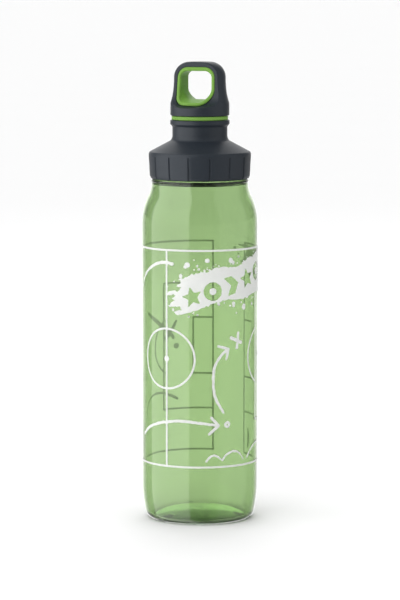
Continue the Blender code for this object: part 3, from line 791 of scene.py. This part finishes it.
def film(cover, inner, outer):
    """A thin closed film where cover is above 0. Cells of a fine grid over the wall are kept by the cover
    at their middles, and the corners on the film's border are moved down the cover's slope onto its
    edge. Returns points and faces."""
    rows = round((INK_Z[1] - INK_Z[0]) / CELL)
    z_lines = INK_Z[0] + CELL * np.arange(rows + 1)
    s_lines = CELL * np.arange(COLUMNS)
    s_mid, z_mid = np.meshgrid(s_lines + CELL / 2, z_lines[:-1] + CELL / 2, indexing="ij")
    kept = cover(s_mid, z_mid) > 0
    for _ in range(6):
        a, b = kept, np.roll(kept, -1, 0)
        c, d = np.roll(kept, -1, 1), np.roll(np.roll(kept, -1, 0), -1, 1)
        fill = (a & d & ~b & ~c) | (b & c & ~a & ~d)
        fill[:, -1] = False
        if not fill.any():
            break
        kept = kept | fill | np.roll(fill, 1, 0)
        kept[:, 0] = kept[:, -1] = False
    s, z = np.meshgrid(s_lines, z_lines, indexing="ij")
    corner = np.zeros(s.shape, int)
    padded = np.pad(kept, ((0, 0), (1, 1)))
    for shift in (0, 1):
        moved = np.roll(padded, shift, 0)
        corner += moved[:, :-1].astype(int) + moved[:, 1:].astype(int)
    used, border = corner > 0, (corner > 0) & (corner < 4)
    bs, bz = s[border], z[border]
    h, most = 0.06, 0.46 * CELL
    for _ in range(3):
        value = cover(bs, bz)
        gs = (cover(bs + h, bz) - cover(bs - h, bz)) / (2 * h)
        gz = (cover(bs, bz + h) - cover(bs, bz - h)) / (2 * h)
        size = np.maximum(gs**2 + gz**2, 0.2)
        bs, bz = bs - value * gs / size, bz - value * gz / size
        bs = s[border] + np.clip(bs - s[border], -most, most)
        bz = z[border] + np.clip(bz - z[border], -most, most)
    s[border], z[border] = bs, bz
    index = np.full(s.shape, -1)
    index[used] = np.arange(used.sum())
    angle = s[used] / BODY_R + math.radians(VIEW_TURN)
    ring = np.stack([np.sin(angle), -np.cos(angle)], -1)
    height = z[used][:, None]
    points = np.concatenate([np.hstack([ring * r, height]) for r in (inner, outer)])
    count = used.sum()
    i, j = np.nonzero(kept)
    i2 = (i + 1) % COLUMNS
    quads = np.stack([index[i, j], index[i2, j], index[i2, j + 1], index[i, j + 1]], -1)
    top, under = quads + count, quads[:, ::-1]
    sides = []
    for (di, dj), (p, q) in (((0, -1), (0, 1)), ((1, 0), (1, 2)), ((0, 1), (2, 3)), ((-1, 0), (3, 0))):
        neighbour = padded[(i + di) % COLUMNS, j + dj + 1]
        edge = quads[~neighbour]
        sides.append(np.stack([edge[:, p], edge[:, q], edge[:, q] + count, edge[:, p] + count], -1))
    return points, np.concatenate([top, under] + sides).tolist()


points, faces = film(ink_cover, BODY_R + 0.012, BODY_R + 0.075)
mesh_piece("printed_ink", points, faces, INK, "bottle")

# ---------------------------------------------------------------- lid

GROOVES = 15
GROOVE_FIRST = math.radians(-82.6)
SECTOR = 2 * math.pi / GROOVES


def lid_profile():
    """The lid's closed section: up the skirt, over cone and neck, down the bore and the inside."""
    seat = WASHER_HIGH[2] + 0.2
    rim_r = SKIRT_R + SKIRT_PROUD
    lip_r = CAP_R + CAP_PROUD
    fine = rounded(
        [
            (SKIRT_BORE, seat - 6.0, 0),
            (SKIRT_BORE, SKIRT_Z, 0.25),
            (30.25, SKIRT_Z, 0.35),
            (31.15, SKIRT_Z + 1.75, 0.9),
            (31.40, SKIRT_Z + 5.6, 6.0),
            (31.52, SKIRT_Z + 9.0, 8.0),
            (rim_r, SKIRT_Z + 13.3, 6.0),
            (rim_r, SKIRT_Z + 15.2, 0.6),
            (SKIRT_R - 0.15, SKIRT_Z + 16.5, 0.9),
            (SPOUT_R + 0.75, LIP_Z - 12.55, 2.6),
            (SPOUT_R, LIP_Z - 10.2, 1.6),
            (SPOUT_R, LIP_Z - 4.1, 1.6),
            (lip_r, LIP_Z - 2.6, 1.0),
            (lip_r, LIP_Z, 0.75),
            (SPOUT_BORE, LIP_Z, 0.45),
            (SPOUT_BORE, LIP_Z - 13.2, 0.8),
            (24.2, LIP_Z - 18.5, 1.0),
            (24.2, seat - 3.7, 0.3),
            (25.3, seat - 3.7, 0.4),
            (25.3, seat, 0.3),
            (SKIRT_BORE, seat, 0.4),
            (SKIRT_BORE, seat - 6.0, 0),
        ],
        0.3,
    )[:-1]
    r, z = fine.T
    threads = (np.abs(r - SKIRT_BORE) < ON_WALL) & (z < seat - 1.0)
    threads |= (np.abs(r - SPOUT_BORE) < ON_WALL) & (z > NECK_THREAD_Z - 1.2)
    fade = (r > 30.0) & (np.abs(z - SKIRT_Z - 14.1) < 1.4)
    return thinned(fine, threads | fade)


def lid_shift(r, z, a):
    """Grip grooves and nearly flat facets on the skirt, and the threads inside the skirt and the neck.
    A groove is a narrow slot with steep sides that starts under the rim. A facet's radius is that of a
    flat between two grooves, taken just over half way from the round."""
    off = np.abs((a - GROOVE_FIRST + SECTOR / 2) % SECTOR - SECTOR / 2)
    top = SKIRT_Z + 14.5
    valley = 0.70 * rise(top - z, 0.0, 0.8) * (1 - rise(off * r, 0.26, 0.70))
    flat = 1 - math.cos(SECTOR / 2) / np.cos(SECTOR / 2 - off)
    facet = 0.55 * r * flat * rise(top - z, -1.4, 1.8)
    skirt = (r > 29.6) & (z < SKIRT_Z + 16.4)
    outside = -np.where(skirt, valley + facet, 0.0) * rise(r, 29.6, 30.3)
    in_skirt = (np.abs(r - SKIRT_BORE) < ON_WALL) & (z < WASHER_LOW[2])
    thread = ridge(z, a, SKIRT_THREAD_Z, LID_TURNS, LID_LEAD, LID_RIDGE) * rise(z, SKIRT_Z, SKIRT_Z + 1)
    in_neck = np.abs(r - SPOUT_BORE) < ON_WALL
    neck_thread = ridge(z, a, NECK_THREAD_Z, PLUG_TURNS, PLUG_LEAD, PLUG_RIDGE)
    threads = np.where(in_skirt, thread, 0.0) + np.where(in_neck, neck_thread, 0.0)
    return outside - threads, np.zeros_like(z)


def lid_angles():
    """Angles round the lid: in each sector 13 across its groove and 8 over its facet."""
    half = np.array([0.0060, 0.0095, 0.0130, 0.0165, 0.0205, 0.0260])
    near = np.concatenate([-half[::-1], [0.0], half])
    far = np.linspace(half[-1], SECTOR - half[-1], 10)[1:-1]
    sector = np.concatenate([near, far])
    return (GROOVE_FIRST + SECTOR * np.arange(GROOVES)[:, None] + sector[None, :]).ravel()


points, faces = closed_grid(turned(lid_profile(), lid_angles(), lid_shift))
mesh_piece("screw_lid", points, faces, DARK, "lid", ["lid_collar"])


def plain_ring(inner, outer, low, high, corner, spacing=0.3):
    """A round-cornered rectangle turned about the axis."""
    middle = (inner + outer) / 2
    profile = rounded(
        [
            (middle, low, 0),
            (outer, low, corner),
            (outer, high, corner),
            (inner, high, corner),
            (inner, low, corner),
            (middle, low, 0),
        ],
        spacing,
    )[:-1]
    return closed_grid(turned(profile, np.linspace(0, 2 * np.pi, 256, endpoint=False)))


points, faces = plain_ring(26.1, WASHER_HIGH[0], WASHER_LOW[2] - 0.15, WASHER_HIGH[2] + 0.15, 0.4)
mesh_piece("lid_washer_soft", points, faces, SILICONE, "washer", ["lid_washer"])

# ---------------------------------------------------------------- stopper

points, faces = plain_ring(14.65, RING_HIGH[0] + 0.05, RING_Z - 0.25, RING_HIGH[2] + 0.25, 0.55, 0.2)
mesh_piece("seal_ring_soft", points, faces, GREEN, "seal", ["stopper_seal_ring"])


def plug_profile():
    """The threaded plug's section from the middle of its top, down the outside and up its hollow."""
    top = CAP_Z - 0.04
    low = PLUG_LOW[2]
    return rounded(
        [
            (0.0, top, 0),
            (14.35, top, 0.05),
            (14.35, RING_Z, 0.3),
            (PLUG_R, RING_Z - 0.9, 0.3),
            (PLUG_R, low, 0.5),
            (11.55, low, 0.5),
            (11.55, top - 1.8, 1.0),
            (0.0, top - 1.8, 0),
        ],
        0.3,
    )


def plug_shift(r, z, a):
    """The plug's thread outside."""
    wall = (np.abs(r - PLUG_R) < ON_WALL) & (z < RING_Z)
    thread = ridge(z, a, PLUG_THREAD_Z, PLUG_TURNS, PLUG_LEAD, PLUG_RIDGE)
    return np.where(wall, thread, 0.0), np.zeros_like(z)


angles = np.linspace(0, 2 * np.pi, 288, endpoint=False)
points, faces = capped_grid(turned(plug_profile(), angles, plug_shift))
mesh_piece("threaded_plug", points, faces, DARK, "stopper", ["stopper_plug"])


def join_edge(a, b, k):
    """The larger of two distances, with the edge where they meet rounded over a width of k."""
    h = np.maximum(k - np.abs(a - b), 0) / k
    return np.maximum(a, b) + h * h * k / 4


def flare_radius(z):
    """Radius of the shell's outside: straight low down, then a slow hollow curve in to the waist."""
    below = np.clip(WAIST_Z - z, 0, WAIST_Z - FLARE_LOW)
    proud = CAP_PROUD * (1 - rise(z, CAP_Z + 5.0, CAP_Z + 14.0))
    return WAIST_R + FLARE_R - np.sqrt(FLARE_R**2 - below**2) + proud


def outside_distance(x, y, z):
    """Distance to the shell before the loop is cut: turned flare with a domed top and a flat base."""
    r = np.hypot(x, y)
    side = r - flare_radius(z) + TOP_ROUND
    up = z - (CAP_TOP - TOP_ROUND)
    dome = np.minimum(np.maximum(side, up), 0) + np.hypot(np.maximum(side, 0), np.maximum(up, 0))
    return join_edge(dome - TOP_ROUND, CAP_Z - z, 0.9)


def scoop_distance(y, z):
    """Distance to the space in front of a face: flat above, then swept out to the shelf."""
    depth = np.abs(y)
    swept = SCOOP_R - np.hypot(depth - FACE_Y - SCOOP_R, z - SHELF_Z - SCOOP_R)
    low = np.where(depth > FACE_Y + SCOOP_R, z - SHELF_Z, swept)
    return np.where(z > SHELF_Z + SCOOP_R, depth - FACE_Y, low)


def leaning(left, z):
    """How much wider the hole is at its left, growing from its top to its floor."""
    return 1 + 0.085 * left * (1 - rise(z, HOLE_LOW + 2.0, HOLE_HIGH - 2.0))


def seen_left(x, y):
    """0 to 1: how far a place is out towards a face on the side that is left when seen from there."""
    return rise(np.sign(x) * y, 1.0, 8.0)


def floor_fall(y):
    """How far the hole's floor has fallen at y, on its way out to a face."""
    return 0.2 * np.maximum(0, np.abs(y) - FACE_Y / 2)


def hole_distance(x, y, z):
    """Distance outside the loop's hole, negative in it: a box with wide rounds below and small rounds
    above, whose floor falls towards each face. Seen from either side, its low left round grows tight
    and leans out towards the viewer."""
    low = HOLE_LOW - floor_fall(y)
    middle, half = (low + HOLE_HIGH) / 2, (HOLE_HIGH - low) / 2
    left = seen_left(x, y)
    corner = np.where(z > middle, TOP_CORNER, WIDE_CORNER + (TIGHT_CORNER - WIDE_CORNER) * left)
    u, v = np.abs(x) / leaning(left, z) - HOLE_HALF + corner, np.abs(z - middle) - half + corner
    return np.minimum(np.maximum(u, v), 0) + np.hypot(np.maximum(u, 0), np.maximum(v, 0)) - corner


def shell_distance(p):
    """Distance to the looped shell, negative in its material."""
    x, y, z = p[..., 0], p[..., 1], p[..., 2]
    solid = join_edge(outside_distance(x, y, z), scoop_distance(y, z), 0.8)
    return join_edge(solid, -hole_distance(x, y, z), 0.5)


def round_box(half, low, high, low_round, high_round, steps):
    """A box's outline as (x, z) and outward normals, anticlockwise from its low right corner, with steps
    points on each of its four quarter circles."""
    outline = []
    for start, side, level, radius in (
        (-90, 1, low + low_round, low_round),
        (0, 1, high - high_round, high_round),
        (90, -1, high - high_round, high_round),
        (180, -1, low + low_round, low_round),
    ):
        a = np.radians(start + np.linspace(0, 90, steps))
        way = np.stack([np.cos(a), np.sin(a)], -1)
        outline.append(np.hstack([(side * (half - radius), level) + radius * way, way]))
    return np.concatenate(outline)


def spread_round(outline, count):
    """Rows for count places spread evenly by length round a closed outline, whose rows start with (x, z)."""
    closed = np.concatenate([outline, outline[:1]])
    along = np.concatenate([[0], np.cumsum(np.hypot(*np.diff(closed[:, :2], axis=0).T))])
    places = np.linspace(0, along[-1], count, endpoint=False)
    return np.stack([np.interp(places, along, column) for column in closed.T], -1)


def core_curve(count):
    """A closed curve in the middle of the loop's material, and its outward normals: a rounded box round
    the hole."""
    low, high, corner = CAP_Z + 3.9, CAP_TOP - 1.55, 7.6
    outline = round_box(14.0, low, high, corner, corner, 40)
    x, z, nx, nz = spread_round(outline, count).T
    size = np.hypot(nx, nz)
    zero = np.zeros_like(x)
    return np.stack([x, zero, z], -1), np.stack([nx / size, zero, nz / size], -1)


def cast(core, normal, spin):
    """Where a ray from each core point, turned by spin from the normal towards Y, leaves the shell."""
    way = normal[:, None, :] * np.cos(spin)[..., None]
    way = way + np.array([0.0, 1.0, 0.0]) * np.sin(spin)[..., None]
    reach = np.zeros(spin.shape)
    for _ in range(70):
        reach = reach - 0.85 * shell_distance(core[:, None, :] + way * reach[..., None])
    return core[:, None, :] + way * reach[..., None]


def loop_shell():
    """Grid of the shell: for each place on the core curve a closed section, whose points are spread by
    length and by how sharply the section bends."""
    count = 380
    core, normal = core_curve(count)
    spin = np.broadcast_to(np.linspace(-np.pi, np.pi, 481), (count, 481))
    first = cast(core, normal, spin)
    step = np.diff(first, axis=1)
    length = np.linalg.norm(step, axis=2)
    way = step / np.maximum(length, 1e-9)[..., None]
    bend = np.arccos(np.clip((way * np.roll(way, -1, axis=1)).sum(2), -1, 1))
    weight = length + 2.6 * (bend + np.roll(bend, 1, axis=1)) / 2
    along = np.concatenate([np.zeros((count, 1)), np.cumsum(weight, axis=1)], axis=1)
    want = np.linspace(0, 1, 190, endpoint=False)
    even = np.stack([np.interp(want * a[-1], a, b) for a, b in zip(along, spin)])
    return cast(core, normal, even)


points, faces = closed_grid(loop_shell())
mesh_piece("loop_shell", points, faces, DARK, "stopper", ["stopper_shell"])


def hole_outline(inset, low_round, count):
    """The loop hole's outline in the middle of the loop, moved inwards by inset, with rounds of low_round
    below: points by share of the way round, from the middle of its floor."""
    low, high = HOLE_LOW + inset, HOLE_HIGH - inset
    outline = round_box(HOLE_HALF - inset, low, high, low_round - inset, TOP_CORNER - inset, 24)
    return spread_round(np.concatenate([[(0.0, low)], outline[:, :2]]), count)


def face_reach(x, z):
    """How far the loop's face is from the middle at (x, z)."""
    below = np.clip(SHELF_Z + SCOOP_R - z, 0, SCOOP_R)
    swept = FACE_Y + SCOOP_R - np.sqrt(SCOOP_R**2 - below**2)
    outside = np.sqrt(np.maximum(flare_radius(z) ** 2 - x**2, FACE_Y**2))
    return np.minimum(swept, outside)


LINING_GAP = 0.04
LINING_WALL = 1.95
LIP_ROUND = 0.7


def loop_lining():
    """Grid of the lining: round the hole by a closed section with full, round lips that stand a little
    proud of the faces, and further out below, where they lie over the shelf."""
    count = 240
    rim = hole_outline(LINING_GAP, WIDE_CORNER, count)
    tongue = 1 - rise(rim[:, 1], HOLE_LOW - 0.5, HOLE_LOW + 7.5)
    reach = face_reach(rim[:, 0], rim[:, 1] - 0.9 * tongue) + 0.42 + 1.6 * tongue
    lip = np.radians(np.linspace(0, 180, 13))
    across = [(1 - np.cos(lip)) / 2, np.sin(lip)]
    rows = []
    for side, order, wall_share in ((1, slice(None), 1.0), (-1, slice(None, None, -1), 0.0)):
        for share, bulge in zip(across[0][order], across[1][order]):
            rows.append(lining_row(reach, side, share, bulge, count))
        for depth in np.linspace(0.9, -0.9, 9):
            rows.append(lining_row(reach, side * depth, wall_share, 0.0, count))
    return np.stack(rows)


def lining_row(reach, depth, share, bulge, count):
    """One line round the hole. share is 0 on the outer wall and 1 on the inner, depth is the share of the
    way to the face, and bulge, 0 but on the lip, rounds it. The wide and the tight outline are blended
    to the left, and the lining is thicker at the hole's top."""
    y = depth * (reach - LIP_ROUND) + math.copysign(LIP_ROUND, depth) * bulge
    inset = LINING_GAP + LINING_WALL * share
    wide, tight = (hole_outline(inset, low_round, count) for low_round in (WIDE_CORNER, TIGHT_CORNER))
    left = seen_left(wide[:, 0], y)
    near = wide * (1 - left[:, None]) + tight * left[:, None]
    near[:, 0] *= leaning(left, near[:, 1])
    floor = 1 - rise(near[:, 1], HOLE_LOW + 1.0, HOLE_LOW + 14.0)
    head = rise(near[:, 1], HOLE_HIGH - 6.0, HOLE_HIGH - 2.0) * 0.45 * share
    return np.stack([near[:, 0], y, near[:, 1] - floor_fall(y) * floor - head], -1)


points, faces = closed_grid(loop_lining())
mesh_piece("loop_lining_soft", points, faces, GREEN, "stopper", ["loop_lining"])

# ---------------------------------------------------------------- floor, light and camera

CEILING = 1.07
MIRRORED_CEILING = 0.45
MIRRORED_RISE = 0.16


def floor_sheet():
    """A flat sheet of squares whose size grows with the distance from the middle."""
    count, reach = 33, 90.0
    lines = reach * np.linspace(-1, 1, count) ** 5
    x, y = np.meshgrid(lines, lines, indexing="ij")
    points = np.stack([x.ravel(), y.ravel(), np.zeros(x.size)], -1)
    mesh = bpy.data.meshes.new("floor")
    mesh.from_pydata(points.tolist(), [], grid_faces(count, count, False, False)[:, ::-1].tolist())
    mesh.update()
    obj = bpy.data.objects.new("floor", mesh)
    bpy.context.scene.collection.objects.link(obj)
    mesh.materials.append(principled("pale floor", pale_floor))
    obj.visible_glossy = False


def studio_light():
    """World light by bearing and height, as in a small studio: a broad bright panel on the left, a dimmer
    one on the right, white behind, dim between them, and an even ceiling, which gloss sees dimmer and
    starting higher up. Bearings go anticlockwise from the camera's side. The camera sees only white."""
    world = bpy.data.worlds.new("studio")
    world.use_nodes = True
    world.node_tree.nodes.clear()
    graph = Graph(world.node_tree)
    way = graph.node("ShaderNodeTexCoord")
    level = {"Vector": way, "Rotation": (0.0, 0.0, -math.radians(VIEW_TURN))}
    x, y, z = graph.parts(graph.node("ShaderNodeMapping", None, level))
    bearing = x.math("ARCTAN2", x, 0.0 - y)
    left = graph.ramp(bearing, -2.02, -1.90) * graph.ramp(0.0 - bearing, 0.34, 0.42)
    right = graph.ramp(bearing, 0.60, 0.76) * graph.ramp(0.0 - bearing, -1.95, -1.78)
    behind = graph.ramp(bearing, 2.36, 2.96) + graph.ramp(0.0 - bearing, 2.36, 2.96)
    low = 0.20 + left * 1.9 + right * 0.48 + behind * 1.44
    seen = graph.node("ShaderNodeLightPath")
    mirrored = Socket(graph, seen.socket.node.outputs["Is Glossy Ray"])
    ceiling = graph.ramp(z - mirrored * MIRRORED_RISE, 0.50, 0.75)
    overhead = CEILING - mirrored * (CEILING - MIRRORED_CEILING)
    light = low * (1.0 - ceiling) + ceiling * overhead
    sockets = {"Color": (1.0, 1.0, 1.0, 1.0), "Strength": light * (1.0 - seen) + seen}
    shader = graph.node("ShaderNodeBackground", None, sockets)
    out = world.node_tree.nodes.new("ShaderNodeOutputWorld")
    world.node_tree.links.new(shader.socket, out.inputs["Surface"])
    bpy.context.scene.world = world


def soft_box(name, place, aim, size, power):
    """A rectangular studio light at a place, turned towards aim. Gloss and glass don't show it."""
    light = bpy.data.lights.new(name, "AREA")
    light.shape = "RECTANGLE"
    light.size, light.size_y = size
    light.energy = power
    obj = bpy.data.objects.new(name, light)
    obj.visible_glossy = False
    obj.visible_transmission = False
    bpy.context.scene.collection.objects.link(obj)
    turn_towards(obj, np.array(place, float), np.array(aim, float))


def turn_towards(obj, place, aim):
    """Puts an object at a place with its -Z towards aim and its Y as near to up as that allows."""
    back = (place - aim) / np.linalg.norm(place - aim)
    right = np.cross([0.0, 0.0, 1.0], back)
    right = right / np.linalg.norm(right)
    rows = np.eye(4)
    rows[:3, 0], rows[:3, 1], rows[:3, 2], rows[:3, 3] = right, np.cross(back, right), back, place
    obj.matrix_world = Matrix(rows)


def from_view(side, ahead, up):
    """A place given as seen from the front: metres to the right, towards the camera, and up."""
    turn = math.radians(VIEW_TURN)
    right = np.array([math.cos(turn), math.sin(turn), 0.0])
    front = np.array([math.sin(turn), -math.cos(turn), 0.0])
    return right * side + front * ahead + np.array([0.0, 0.0, up])


floor_sheet()
studio_light()
soft_box("back soft box", from_view(-0.05, -1.1, 1.3), (0, 0, 0.1), (1.3, 0.9), 5.5)
soft_box("front fill", from_view(-0.5, 1.6, 0.9), (0, 0, 0.15), (1.0, 0.8), 5.5)

camera_data = bpy.data.cameras.new("camera")
camera_data.sensor_width = 36.0
camera_data.lens = 171.0
camera_data.shift_x = 0.0002
camera = bpy.data.objects.new("camera", camera_data)
bpy.context.scene.collection.objects.link(camera)
target = np.array([0.0, 0.0, 0.1365])
pitch = math.radians(6.51)
distance = 1.778
away = from_view(0.0, distance * math.cos(pitch), distance * math.sin(pitch))
turn_towards(camera, target + away, target)
bpy.context.scene.camera = camera
bpy.context.scene.view_settings.view_transform = "Standard"
